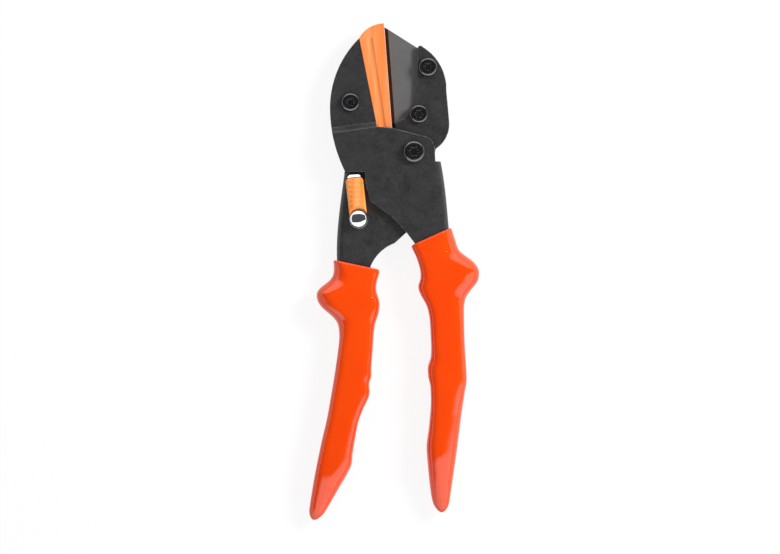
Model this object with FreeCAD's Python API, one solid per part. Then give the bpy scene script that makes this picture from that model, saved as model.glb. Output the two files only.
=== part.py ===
import FreeCAD, Part
import math
import os

os.makedirs("parts", exist_ok=True)
V = FreeCAD.Vector

# Anvil secateurs, closed and latched, lying on their back. Millimetres.
# The origin is on the pivot axis at the end face of the pivot nut; +Y runs to the jaws, +Z to the front.

# Pressed plates
sheet = 2.5                  # thickness of both plates
slide_thick = 0.3            # washer that keeps the plates apart
bend_inside = 0.5            # inside radius of the channel bends
flange_back = 0.6            # height of a channel's rear edge above the rest plane
close_fit = 0.05             # radial clearance round a bolt, rivet or bush

# Pivot
pivot_size = 6.0
pivot_head = 9.2
pivot_head_high = 3.2
pivot_nut_flats = 10.0
pivot_nut_high = 6.0
pivot_washer_size = 12.0
pivot_washer_thick = 1.0
slide_washer_size = 14.0
bush_size = 8.5
open_angle = 20.0            # how far the blade side swings open
swing_clearance = 0.7        # between the plates at the end of the swing

# Jaw plate
jaw_top = 48.1               # pivot to the top corner of the jaw plate, along Y
jaw_bulge = 35.4             # how far the back of the jaw stands left of the pivot
crease_reach = 12.5          # pivot to the lower crease of the joggle
crease_run = 2.2             # length of the joggle's ramp
crease_angle = 7.7
crease_outside = 0.9
crease_inside = 0.35

# Blade and anvil
blade_thick = 2.6
blade_bevel = 1.4            # width of the ground bevel
blade_edge_thick = 0.15
anvil_rise = 6.2             # how far the anvil's corner by the blade stands above the jaw plate
anvil_crown = 1.6            # how much lower the middle of its rounded top is
anvil_thick = 8.2
anvil_gap = 0.12             # between the blade's edge and the shut anvil
groove_radius = 2.0
groove_deep = 0.45
groove_place = 0.42          # share of the anvil's width, from its left side
groove_stop = 0.8            # from the anvil's top corner to the groove's round end
blade_heel = 3.4             # from the pivot washer's rim to the blade's heel
tongue_thick = 2.6

# Screws that hold the blade and the anvil
screw_size = 4.0
screw_head = 7.8
screw_head_high = 2.5
screw_nut_flats = 7.0
screw_nut_high = 3.2
screw_end = 0.5              # thread that shows past a nut
blade_upper_at = (5.9, 35.8)
blade_lower_at = (2.1, 16.0)
anvil_screw_at = (-26.7, 21.0)

# Latch
latch_at = (-23.3, -28.2)
latch_lean = 6.3             # degrees to the left of straight up
latch_wide = 6.1
latch_thick = 2.2
latch_gap = 0.8              # arm's tip to the notch of the front plate
latch_round = 2.3
latch_bevel = 1.3            # length of the slope at the front of the arm's tip
latch_bevel_deep = 0.8
latch_washer_size = 8.0
latch_washer_thick = 0.6
notch_edge = -8.4            # height of the notch that the arm butts against
sleeve_side = 0.65           # plastic beside the arm
sleeve_short = 1.6           # bare arm above the sleeve
sleeve_front = 1.5           # plastic in front of the arm
sleeve_back = 0.35           # plastic behind the arm
sleeve_round = 1.6
rib_count = 6
rib_pitch = 2.0
rib_wide = 3.8
rib_thick = 0.9
rib_high = 0.5
rivet_size = 4.0
rivet_head = 7.6
rivet_head_high = 2.6
rivet_tail = 6.6
rivet_tail_high = 1.3

# Handles
grip_wall = 1.7              # plastic over the bent edge of the steel
grip_wall_cut_right = 2.9    # plastic over the plain edge, more where the plate lies near the front
grip_wall_cut_left = 1.7
tang_back = 4.0              # height of the channel's rear edge inside a grip
tang_step = 0.055            # share of the grip's length where the channel gets shallower
grip_deep_right = 14.5
grip_deep_left = 13.2
grip_length_right = 116.9    # middle of the collar to the tip
grip_length_left = 109.7
grip_lean_right = 2.3        # degrees: the tip stands right of the collar
grip_lean_left = -9.4
grip_top_right = (7.2, -35.6)
grip_top_left = (-24.5, -47.4)
collar_slope_right = 25.7
collar_slope_left = -13.4
tang_end = 0.78              # share of the grip's length that holds steel
knee_round = 60.0

# Return spring
spring_wire = 1.5
spring_radius = 7.2          # to the middle of the wire
spring_low = 2.1
spring_high = 5.9
spring_seat = 0.1            # gap between a leg's end and its channel
spring_drop_left = 21.0      # pivot to where each leg bears, along Y
spring_drop_right = 23.0
spring_room = 0.85           # between the coil and the right channel

# Levels worked out from the stack of washers and plates
rear_low = pivot_nut_high + pivot_washer_thick
rear_high = rear_low + sheet
front_low = rear_high + slide_thick
front_high = front_low + sheet
jaw_step = front_low - rear_low
blade_low = rear_low - blade_thick
blade_middle = rear_low - blade_thick / 2
nut_low = blade_low - screw_nut_high
crease_steep = math.atan2(jaw_step, crease_run)
crease_behind = crease_reach - sheet * math.tan(crease_steep / 2)
latch_low = rear_high + latch_washer_thick
latch_high = latch_low + latch_thick
latch_reach = notch_edge - latch_gap - latch_at[1]
sleeve_high = latch_high + sleeve_front

# A grip's sections: share of its length, then its left and right side, its back and front as shares
# of its depth, and its corner radius. Sides are measured from the line from collar to tip.
left_rows = (
    (-0.06, -9.4, 9.9, 0.0, 0.86, 2.0),
    (0.0, -9.2, 9.9, 0.0, 0.88, 2.2),
    (0.045, -8.4, 9.8, 0.0, 0.93, 2.4),
    (0.085, -10.4, 9.9, 0.0, 0.98, 3.5),
    (0.11, -13.0, 11.0, 0.0, 1.0, 5.0),
    (0.135, -14.5, 12.2, 0.0, 1.0, 5.8),
    (0.172, -13.4, 12.4, 0.0, 1.0, 5.8),
    (0.207, -8.2, 11.7, 0.0, 1.0, 5.8),
    (0.245, -3.4, 11.6, 0.0, 1.0, 5.8),
    (0.33, -1.6, 12.4, 0.0, 1.0, 5.8),
    (0.42, -1.4, 13.3, 0.0, 1.0, 5.8),
    (0.485, -1.4, 14.2, 0.0, 1.0, 5.8),
    (0.55, -1.4, 12.4, 0.0, 1.0, 5.8),
    (0.63, -1.7, 11.2, 0.0, 1.0, 5.8),
    (0.76, -2.5, 11.8, 0.0, 1.0, 5.8),
    (0.83, -2.8, 9.5, 0.02, 0.96, 5.0),
    (0.95, -3.0, 4.9, 0.1, 0.78, 3.4),
    (0.985, -2.4, 2.5, 0.2, 0.68, 2.0),
    (1.0, -1.3, 1.0, 0.3, 0.58, 0.8),
)
right_rows = (
    (-0.08, -8.9, 8.2, 0.0, 0.98, 2.0),
    (-0.03, -8.9, 8.7, 0.0, 0.98, 2.2),
    (0.015, -8.8, 9.8, 0.0, 0.99, 2.4),
    (0.06, -7.2, 11.5, 0.0, 1.0, 3.5),
    (0.09, -6.2, 16.5, 0.0, 1.0, 5.0),
    (0.113, -5.5, 18.5, 0.0, 1.0, 6.0),
    (0.135, -5.2, 19.8, 0.0, 1.0, 6.2),
    (0.165, -5.9, 19.4, 0.0, 1.0, 6.2),
    (0.207, -5.7, 15.4, 0.0, 1.0, 6.2),
    (0.25, -3.1, 13.0, 0.0, 1.0, 6.2),
    (0.3, -2.1, 12.6, 0.0, 1.0, 6.2),
    (0.41, -2.0, 12.3, 0.0, 1.0, 6.2),
    (0.47, -3.9, 12.4, 0.0, 1.0, 6.2),
    (0.525, -3.4, 12.7, 0.0, 1.0, 6.2),
    (0.595, -2.9, 10.9, 0.0, 1.0, 6.0),
    (0.71, -4.8, 8.7, 0.0, 1.0, 5.8),
    (0.83, -5.2, 6.3, 0.01, 0.96, 5.0),
    (0.94, -4.3, 3.5, 0.1, 0.76, 3.2),
    (0.98, -3.0, 2.4, 0.2, 0.66, 2.0),
    (1.0, -1.4, 1.2, 0.3, 0.56, 0.8),
)


def face(*steps):
    """Closed outline: a step is a corner, an arc's middle and end, or a smooth curve's further points."""
    start = steps[0]
    edges, here = [], V(*start, 0)
    closing = steps[-1] == start or (isinstance(steps[-1][0], tuple) and steps[-1][-1] == start)
    for step in steps[1:] + (() if closing else (start,)):
        points = [here] + [V(*point, 0) for point in (step if isinstance(step[0], tuple) else (step,))]
        if len(points) == 2:
            line = Part.LineSegment(*points)
        elif len(points) == 3:
            line = Part.Arc(*points)
        else:
            line = Part.BSplineCurve()
            line.interpolate(points)
        edges.append(line.toShape())
        here = points[-1]
    return Part.Face(Part.Wire(edges))


def slab(outline, low, high):
    lifted = outline.copy()
    lifted.translate(V(0, 0, low))
    return lifted.extrude(V(0, 0, high - low))


def disc(at, size, low, high):
    return Part.makeCylinder(size / 2, high - low, V(at[0], at[1], low))


def box(low, high):
    return Part.makeBox(*(b - a for a, b in zip(low, high)), V(*low))


def turned(shape, at, degrees):
    moved = shape.copy()
    moved.rotate(V(at[0], at[1], 0), V(0, 0, 1), degrees)
    return moved


def moved(shape, x=0.0, y=0.0, z=0.0):
    copy = shape.copy()
    copy.translate(V(x, y, z))
    return copy


def middle(edge):
    return edge.valueAt((edge.FirstParameter + edge.LastParameter) / 2)


def round_uprights(solid, *corners):
    """Rounds the upright edge at each (x, y, radius)."""
    for x, y, radius in corners:
        edges = [edge for edge in solid.Edges
                 if all(math.hypot(v.X - x, v.Y - y) < 0.01 for v in edge.Vertexes)]
        solid = solid.makeFillet(radius, edges)
    return solid


def distance_to_run(point, run):
    """Distance in plan from a point to a chain of straight lines."""
    best = math.inf
    for (ax, ay), (bx, by) in zip(run, run[1:]):
        dx, dy = bx - ax, by - ay
        share = ((point.x - ax) * dx + (point.y - ay) * dy) / (dx * dx + dy * dy)
        share = min(1, max(0, share))
        best = min(best, math.hypot(point.x - ax - share * dx, point.y - ay - share * dy))
    return best


def round_run(solid, height, run, radius):
    """Rounds the edges that follow a chain of lines at one height."""
    edges = [edge for edge in solid.Edges
             if abs(middle(edge).z - height) < 0.01 and distance_to_run(middle(edge), run) < 0.8
             and abs(edge.Vertexes[0].Z - edge.Vertexes[-1].Z) < 0.01]
    return solid.makeFillet(radius, edges)


def hexagon(flats):
    corner = flats / math.sqrt(3)
    return face(*((corner * math.cos(math.pi * i / 3), corner * math.sin(math.pi * i / 3))
                  for i in range(6)))


def nut(at, flats, bore, low, high):
    corner = flats / math.sqrt(3)
    turned_blank = Part.makeCylinder(corner, high - low, V(0, 0, low))
    rims = [edge for edge in turned_blank.Edges if len(edge.Vertexes) == 1]
    turned_blank = turned_blank.makeChamfer((corner - flats / 2) * 0.8, rims)
    solid = slab(hexagon(flats), low, high).common(turned_blank)
    return moved(solid.cut(disc((0, 0), bore, low, high)), *at)


def star_recess(size, low, high):
    """Six-lobed drive socket."""
    socket = disc((0, 0), size * 0.72, low, high)
    for i in range(6):
        angle = math.pi * i / 3
        lobe = (size * 0.39 * math.cos(angle), size * 0.39 * math.sin(angle))
        socket = socket.fuse(disc(lobe, size * 0.22, low, high))
    return socket


def screw(at, size, head, head_high, seat, end):
    """Pan head screw with its head seated at one height and its thread ending at another."""
    cap = disc((0, 0), head, seat, seat + head_high)
    top = [edge for edge in cap.Edges if abs(middle(edge).z - seat - head_high) < 0.01]
    cap = cap.makeFillet(head_high * 0.42, top)
    cap = cap.cut(star_recess(head * 0.44, seat + head_high * 0.35, seat + head_high))
    return moved(cap.fuse(disc((0, 0), size, end, seat)), *at)


def ring(at, size, bore, low, high):
    return disc(at, size, low, high).cut(disc(at, bore, low, high))


def on_grip(top, lean, along, across):
    """Point at a distance down a grip and across it."""
    lean = math.radians(lean)
    return (top[0] + along * math.sin(lean) + across * math.cos(lean),
            top[1] - along * math.cos(lean) + across * math.sin(lean))


def side_at(rows, share, column):
    for low, high in zip(rows, rows[1:]):
        if low[0] <= share <= high[0]:
            part = (share - low[0]) / (high[0] - low[0])
            return low[column] + part * (high[column] - low[column])
    return rows[-1][column]


def section(along, left, right, back, front, radius):
    """Rounded cross-section of a grip."""
    inset = radius * (1 - math.sqrt(0.5))
    edges = []
    corners = ((right, front, -1, -1), (left, front, 1, -1), (left, back, 1, 1), (right, back, -1, 1))
    ends = []
    for i, (x, z, sx, sz) in enumerate(corners):
        across = V(x + sx * radius, -along, z)
        upright = V(x, -along, z + sz * radius)
        first, last = (upright, across) if i % 2 == 0 else (across, upright)
        ends.append((first, V(x + sx * inset, -along, z + sz * inset), last))
    for i, (first, through, last) in enumerate(ends):
        edges.append(Part.Arc(first, through, last).toShape())
        edges.append(Part.LineSegment(last, ends[(i + 1) % 4][0]).toShape())
    return Part.Wire(edges)


def grip(rows, length, deep, top, lean, slope, steel):
    sections = [section(share * length, left, right, back * deep, front * deep, radius)
                for share, left, right, back, front, radius in rows]
    solid = Part.makeLoft(sections, True, True)
    solid = turned(moved(solid, *top), top, lean)
    above = turned(moved(box((-60, 0, -5), (60, 60, 40)), *top), top, slope)
    return solid.cut(above).cut(steel)


def channel(web, outline, low, inward, top, run):
    """Plate with one edge bent back below a height; inward is the way the bent edge leans."""
    step = inward * sheet / math.cos(math.radians(6))
    below = box((-150, -300, -5), (150, top, low + sheet))
    deep = round_run(slab(outline, flange_back, low + sheet).common(below),
                     low + sheet, run, sheet + bend_inside)
    inner_run = [(x + step, y) for x, y in run]
    hollow = round_run(slab(moved(outline, step), flange_back - 1, low), low, inner_run, bend_inside)
    spare = slab(moved(outline, 3 * step), flange_back - 1, low)
    return web.cut(below).fuse(deep.cut(hollow).cut(spare)).removeSplitter()


# Front plate: the jaw, the joggle over the pivot and the right handle's channel.
def joggled_sheet():
    """Sheet that steps back by its joggle, wide enough to cut the front plate from."""
    front_crease = crease_reach + crease_run
    rear_crease = crease_behind + crease_run
    side = face((-250, front_high), (crease_reach, front_high), (front_crease, rear_high),
                (120, rear_high), (120, rear_low), (rear_crease, rear_low),
                (crease_behind, front_low), (-250, front_low))
    solid = round_uprights(
        slab(side, -120, 120),
        (crease_reach, front_high, crease_outside), (front_crease, rear_high, crease_inside),
        (rear_crease, rear_low, crease_outside), (crease_behind, front_low, crease_inside))
    solid.rotate(V(0, 0, 0), V(1, 1, 1), 120)
    return turned(solid, (0, 0), crease_angle)


def right(along, across):
    return on_grip(grip_top_right, grip_lean_right, along * grip_length_right, across)


def left(along, across):
    return on_grip(grip_top_left, grip_lean_left, along * grip_length_left, across)


anvil_left_low, anvil_right_low = (-15.6, 10.6), (-9.4, 10.6)
anvil_left_high, anvil_right_high = (-23.1, jaw_top), (-12.7, jaw_top + anvil_rise)
flange_top_right = (spring_radius + spring_wire / 2 + spring_room + sheet, -4.0)
flange_top_left = (-29.4, -9.0)

# The bent edge of each plate, from the top of its channel to the buried end.
straight_right = side_at(right_rows, 0.34, 2) - grip_wall
run_right = (flange_top_right, right(-0.15, 6.9), right(0.02, 8.0), right(0.25, straight_right),
             right(0.5, straight_right), right(tang_end, side_at(right_rows, tang_end, 2) - grip_wall))
straight_left = side_at(left_rows, 0.485, 1) + grip_wall
run_left = (flange_top_left, (-31.2, -22.3), (-32.4, -34.5), left(0.01, -7.9), left(0.27, straight_left),
            left(0.55, straight_left), left(tang_end, straight_left))

front_outline = face(
    (-3.2, -33.9), right(0.031, -6.3), right(0.12, -3.2),
    right(0.29, side_at(right_rows, 0.34, 1) + grip_wall_cut_right),
    right(0.58, side_at(right_rows, 0.6, 1) + grip_wall_cut_right),
    right(tang_end, side_at(right_rows, tang_end, 1) + grip_wall_cut_right),
    run_right[-1], run_right[-2::-1], (9.0, flange_top_right[1]), (8.8, 0.9),
    ((7.6, 4.6), (3.6, 6.8)), (-9.2, 10.0), anvil_left_low, anvil_left_high,
    ((-31.4, jaw_top - 11.6), (-jaw_bulge, 16.6)), ((-33.9, 5.2), (-29.0, notch_edge)),
    (-20.6, notch_edge), (-20.7, -12.5), (-18.5, -20.7), (-9.6, -27.1),
)


def below_tang(top, lean, length):
    """What a channel loses at its back where it runs inside a grip."""
    spare = box((-60, -200, -5), (60, -tang_step * length, tang_back))
    return turned(moved(spare, *top), top, lean)


def make_anvil_body():
    blank = round_uprights(slab(front_outline, 0, front_high + 1),
                           (-29.0, notch_edge, 0.9), (-20.6, notch_edge, 0.7),
                           (-18.5, -20.7, 4.0), (-9.6, -27.1, 12.0), (-3.2, -33.9, 1.5))
    body = joggled_sheet().common(blank)
    body = channel(body, front_outline, front_low, -1, flange_top_right[1], run_right)
    body = body.cut(below_tang(grip_top_right, grip_lean_right, grip_length_right))
    body = body.cut(disc((0, 0), pivot_size + 2 * close_fit, 0, 20))
    return body.cut(disc(anvil_screw_at, screw_size + 2 * close_fit, 0, 20))


# Rear plate: it carries the blade and runs behind the front plate into the left handle.
rear_outline = face(
    (1.6, 44.1), ((2.5, 44.9), (3.7, 44.4)), ((11.2, 36.6), (13.7, 26.0)), (14.9, 13.0),
    ((14.2, 7.6), (9.3, 1.5)), (7.6, -5.0), (-3.2, -33.9), (-8.1, -38.4), ((-14.7, -42.7), (-18.2, -48.0)),
    left(0.02, 6.4), left(0.27, side_at(left_rows, 0.27, 2) - grip_wall_cut_left),
    left(0.6, side_at(left_rows, 0.63, 2) - grip_wall_cut_left),
    left(tang_end, side_at(left_rows, tang_end, 2) - grip_wall_cut_left),
    run_left[-1], run_left[-2::-1], (-27.5, 0.0), (-12.0, 12.8), (-7.0, 12.8), ((-1.3, 17.2), (1.2, 21.0)),
)


def make_blade_body():
    blank = round_uprights(slab(rear_outline, rear_low, rear_high), (-7.0, 12.8, 0.8), (-3.2, -33.9, 14.0))
    body = channel(blank, rear_outline, rear_low, 1, flange_top_left[1], run_left)
    body = body.cut(below_tang(grip_top_left, grip_lean_left, grip_length_left))
    # room for the joggle and the anvil at the end of the swing
    limit = crease_behind - swing_clearance
    stop = turned(box((-80, limit, -5), (-1.5, limit + 60, 30)), (0, 0), crease_angle + open_angle)
    body = body.cut(stop).cut(disc((0, 0), bush_size, 0, 20))
    for at in (blade_upper_at, blade_lower_at):
        body = body.cut(disc(at, screw_size + 2 * close_fit, 0, 20))
    return body.cut(disc(latch_at, rivet_size, 0, 20))


# Anvil: a bar that stands beside the jaw plate, and a tongue behind the plate for its screw.
anvil_edge = (anvil_right_low, anvil_right_high)


def make_anvil():
    bar = slab(face(anvil_left_low, anvil_right_low, anvil_right_high,
                    ((-18.6, jaw_top + anvil_rise - anvil_crown), anvil_left_high)),
               blade_middle - anvil_thick / 2, blade_middle + anvil_thick / 2)
    tongue = slab(face((-16.5, 15.0), (-19.5, 40.0), ((-30.5, 36.0), (-33.0, 21.0)), (-32.4, 15.0)),
                  rear_low - tongue_thick, rear_low)
    low, high = ((a[0] + (b[0] - a[0]) * groove_place, a[1])
                 for a, b in ((anvil_left_low, anvil_right_low), (anvil_left_high, anvil_right_high)))
    top = blade_middle + anvil_thick / 2
    along = V(high[0] - low[0], high[1] - low[1], 0)
    end = V(*high, top + groove_radius - groove_deep) - along.normalize() * groove_stop
    groove = Part.makeCylinder(groove_radius, 2 * jaw_top, end, -along)
    groove = groove.fuse(Part.makeSphere(groove_radius, end))
    bar = bar.cut(groove).fuse(tongue)
    return bar.cut(disc(anvil_screw_at, screw_size + 2 * close_fit, 0, 20))


def make_blade():
    edge_low, edge_high = (V(x + anvil_gap, y, 0) for x, y in anvil_edge)
    edge_long = (edge_high - edge_low).Length
    along = (edge_high - edge_low).normalize()
    square = V(along.y, -along.x, 0)
    foot = edge_low - along * 0.9
    tip = edge_high - along * 1.3
    heel = pivot_washer_size / 2 + blade_heel
    plate = slab(face((foot.x, foot.y), (tip.x, tip.y), (1.6, 44.1), (3.4, 42.9), ((9.8, 35.6), (12.0, 25.0)),
                      (12.6, 12.5), ((9.5, 8.0), (4.0, heel))), blade_low, rear_low)
    # the bevel is ground away on both sides of the edge
    deep = (blade_thick - blade_edge_thick) / 2
    spare = 5
    for z, way in ((rear_low, 1), (blade_low, -1)):
        start = foot - along * spare
        corners = [start - square * 1.0 + V(0, 0, z + way),
                   start - square * 1.0 + V(0, 0, z - way * (deep + deep / blade_bevel)),
                   start + square * blade_bevel + V(0, 0, z),
                   start + square * blade_bevel + V(0, 0, z + way)]
        wedge = Part.Face(Part.makePolygon(corners + corners[:1])).extrude(along * (edge_long + 2 * spare))
        plate = plate.cut(wedge)
    for at in (blade_upper_at, blade_lower_at):
        plate = plate.cut(disc(at, screw_size + 2 * close_fit, 0, 20))
    return plate


def make_latch_arm():
    half = latch_wide / 2
    arm = slab(face((-half, 0), (-half, latch_reach), (half, latch_reach), (half, 0),
                    ((0, -half), (-half, 0))), latch_low, latch_high)
    arm = round_uprights(arm, (-half, latch_reach, latch_round), (half, latch_reach, latch_round))
    arm = arm.cut(disc((0, 0), rivet_size + 2 * close_fit, 0, 20))
    slope = face((latch_reach - latch_bevel, latch_high), (latch_reach, latch_high - latch_bevel_deep),
                 (latch_reach + 1, latch_high), (latch_reach, latch_high + 1))
    wedge = slab(slope, -latch_wide, latch_wide)
    wedge.rotate(V(0, 0, 0), V(1, 1, 1), 120)
    arm = arm.cut(wedge)
    return turned(moved(arm, *latch_at), latch_at, latch_lean)


def make_latch_sleeve(arm):
    half = latch_wide / 2 + sleeve_side
    reach = latch_reach - sleeve_short
    low, high = latch_low - sleeve_back, sleeve_high
    body = box((-half, 0, low), (half, reach, high))
    body = round_uprights(body, (-half, reach, sleeve_round), (half, reach, sleeve_round))
    body = body.cut(disc((0, 0), rivet_head + 0.5, 0, 30))
    body = body.cut(disc((0, 0), latch_washer_size + 0.6, 0, latch_low))
    for i in range(rib_count):
        middle_y = rib_first() + i * rib_pitch
        body = body.fuse(box((-rib_wide / 2, middle_y - rib_thick / 2, high),
                             (rib_wide / 2, middle_y + rib_thick / 2, high + rib_high)))
    return turned(moved(body, *latch_at), latch_at, latch_lean).cut(arm)


def rib_first():
    """The ribs are centred on the flat of the sleeve."""
    reach = latch_reach - sleeve_short
    return (rivet_head / 2 + reach - rib_pitch * (rib_count - 1)) / 2


def make_latch_rivet():
    seat = latch_high + close_fit
    dome = ((rivet_head / 2) ** 2 + rivet_head_high ** 2) / (2 * rivet_head_high)
    head = Part.makeSphere(dome, V(0, 0, seat + rivet_head_high - dome))
    head = head.common(disc((0, 0), rivet_head, seat, seat + rivet_head_high))
    tail = disc((0, 0), rivet_tail, rear_low - rivet_tail_high, rear_low)
    tail = tail.makeChamfer(0.5, [edge for edge in tail.Edges
                                  if abs(middle(edge).z - rear_low + rivet_tail_high) < 0.01])
    shank = disc((0, 0), rivet_size, rear_low, latch_high + close_fit)
    return moved(head.fuse(shank).fuse(tail), *latch_at)


def make_return_spring():
    """Torsion coil round the pivot nut, with a leg against the inside of each channel."""
    def bearing(run, drop, inward):
        for (ax, ay), (bx, by) in zip(run, run[1:]):
            if ay >= -drop >= by:
                lean = math.atan2(bx - ax, ay - by)
                x = ax + (bx - ax) * (ay + drop) / (ay - by)
                return x + inward * ((sheet + spring_wire / 2) / math.cos(lean) + spring_seat), -drop

    def leaves_coil(end, side):
        return math.atan2(end[1], end[0]) + side * math.acos(spring_radius / math.hypot(*end))

    left_end, right_end = bearing(run_left, spring_drop_left, 1), bearing(run_right, spring_drop_right, -1)
    first, last = leaves_coil(left_end, -1), leaves_coil(right_end, 1)
    turning = (first - last) % (2 * math.pi) + 4 * math.pi
    rise = spring_high - spring_low
    coil = Part.makeHelix(rise * 2 * math.pi / turning, rise, spring_radius, 0, True)
    coil = turned(moved(coil, 0, 0, spring_low), (0, 0), math.degrees(first))
    low_leg, high_leg = (Part.LineSegment(V(*end, z), V(spring_radius * math.cos(angle),
                                                        spring_radius * math.sin(angle), z)).toShape()
                         for end, angle, z in ((left_end, first, spring_low), (right_end, last, spring_high)))
    path = Part.Wire([low_leg] + coil.Edges + [high_leg])
    start = V(*left_end, spring_low)
    rim = Part.Wire(Part.Circle(start, low_leg.tangentAt(low_leg.FirstParameter), spring_wire / 2).toShape())
    return path.makePipeShell([rim], True, True)


anvil_body = make_anvil_body()
blade_body = make_blade_body()
latch_arm = make_latch_arm()
nodes = {
    "anvil_body": anvil_body,
    "anvil": make_anvil(),
    "anvil_screw": screw(anvil_screw_at, screw_size, screw_head, screw_head_high, rear_high,
                         nut_low - screw_end),
    "anvil_nut": nut(anvil_screw_at, screw_nut_flats, screw_size, nut_low, blade_low),
    "pivot_bolt": screw((0, 0), pivot_size, pivot_head, pivot_head_high, front_high, 0.0),
    "pivot_nut": nut((0, 0), pivot_nut_flats, pivot_size, 0, pivot_nut_high),
    "pivot_washer": ring((0, 0), pivot_washer_size, pivot_size + 0.4, pivot_nut_high, rear_low),
    "slide_washer": ring((0, 0), slide_washer_size, pivot_size + 0.4, rear_high, front_low),
    "right_grip": grip(right_rows, grip_length_right, grip_deep_right, grip_top_right, grip_lean_right,
                       collar_slope_right, anvil_body),
    "blade_body": blade_body,
    "blade": make_blade(),
    "pivot_bush": ring((0, 0), bush_size, pivot_size + 2 * close_fit, rear_low, rear_high),
    "left_grip": grip(left_rows, grip_length_left, grip_deep_left, grip_top_left, grip_lean_left,
                      collar_slope_left, blade_body),
    "return_spring": make_return_spring(),
    "latch_rivet": make_latch_rivet(),
    "latch_washer": ring(latch_at, latch_washer_size, rivet_size + 2 * close_fit, rear_high, latch_low),
    "latch_arm": latch_arm,
    "latch_sleeve": make_latch_sleeve(latch_arm),
}
for place, at in (("upper", blade_upper_at), ("lower", blade_lower_at)):
    nodes["blade_screw_" + place] = screw(at, screw_size, screw_head, screw_head_high, rear_high,
                                          nut_low - screw_end)
    nodes["blade_nut_" + place] = nut(at, screw_nut_flats, screw_size, nut_low, blade_low)

for name, shape in nodes.items():
    shape.exportStep("parts/" + name + ".step")
    print(name, len(shape.Solids), shape.isValid(), round(shape.Volume, 1))
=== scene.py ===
import bpy
import math
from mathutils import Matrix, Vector


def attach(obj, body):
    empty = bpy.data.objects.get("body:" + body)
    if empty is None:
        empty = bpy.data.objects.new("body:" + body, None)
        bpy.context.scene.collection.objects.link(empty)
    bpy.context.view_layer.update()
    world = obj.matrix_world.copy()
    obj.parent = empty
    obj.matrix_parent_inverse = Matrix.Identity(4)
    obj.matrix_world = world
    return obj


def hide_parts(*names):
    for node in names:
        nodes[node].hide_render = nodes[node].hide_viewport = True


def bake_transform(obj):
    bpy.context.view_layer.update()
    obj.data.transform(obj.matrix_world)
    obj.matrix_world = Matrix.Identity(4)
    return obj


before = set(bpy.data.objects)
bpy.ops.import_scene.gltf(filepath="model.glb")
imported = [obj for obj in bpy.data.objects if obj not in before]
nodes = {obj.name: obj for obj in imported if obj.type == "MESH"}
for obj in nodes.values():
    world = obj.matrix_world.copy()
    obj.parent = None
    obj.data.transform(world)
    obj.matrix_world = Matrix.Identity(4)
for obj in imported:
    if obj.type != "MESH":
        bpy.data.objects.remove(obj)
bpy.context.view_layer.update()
mm = 0.001


# colours and shader helpers

def paint(red, green, blue):
    # a colour picked as 0 to 255, for a socket
    def linear(value):
        value = value / 255
        return value / 12.92 if value <= 0.04045 else ((value + 0.055) / 1.055) ** 2.4
    return (linear(red), linear(green), linear(blue), 1)


def addNode(tree, kind, place, **settings):
    node = tree.nodes.new(kind)
    node.location = place
    for name, value in settings.items():
        if hasattr(node, name):
            setattr(node, name, value)
        else:
            node.inputs[name].default_value = value
    return node


def link(tree, start, end):
    tree.links.new(start, end)


def newGroup(name, inputs, outputs):
    group = bpy.data.node_groups.new(name, "ShaderNodeTree")
    for socketName, kind, value in inputs:
        socket = group.interface.new_socket(socketName, in_out="INPUT", socket_type=kind)
        socket.default_value = value
    for socketName, kind in outputs:
        group.interface.new_socket(socketName, in_out="OUTPUT", socket_type=kind)
    start = addNode(group, "NodeGroupInput", (-900, 0))
    end = addNode(group, "NodeGroupOutput", (700, 0))
    return group, start, end


def useGroup(tree, group, place, **settings):
    node = tree.nodes.new("ShaderNodeGroup")
    node.node_tree = group
    node.location = place
    for name, value in settings.items():
        node.inputs[name].default_value = value
    return node


def remap(tree, value, place, start, end, low=0.0, high=1.0):
    # start..end of a value becomes low..high
    node = addNode(tree, "ShaderNodeMapRange", place, **{
        "From Min": start, "From Max": end, "To Min": low, "To Max": high})
    link(tree, value, node.inputs["Value"])
    return node


def mixColours(tree, mask, first, second, place):
    # first where the mask is 0, second where it is 1; each is a colour or a socket
    mixed = addNode(tree, "ShaderNodeMix", place, data_type="RGBA")
    link(tree, mask, mixed.inputs["Factor"])
    for value, socket in ((first, mixed.inputs[6]), (second, mixed.inputs[7])):
        if isinstance(value, bpy.types.NodeSocket):
            link(tree, value, socket)
        else:
            socket.default_value = value
    return mixed.outputs[2]


def newMaterial(name, colour, roughness, metallic=0.0):
    material = bpy.data.materials.new(name)
    material.use_nodes = True
    material.diffuse_color = colour
    shader = material.node_tree.nodes["Principled BSDF"]
    shader.inputs["Base Color"].default_value = colour
    shader.inputs["Roughness"].default_value = roughness
    shader.inputs["Metallic"].default_value = metallic
    return material, material.node_tree, shader


# shared effects

grainShape = {"grainShare": 0.45, "spread": (0.3, 0.7)}


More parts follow.
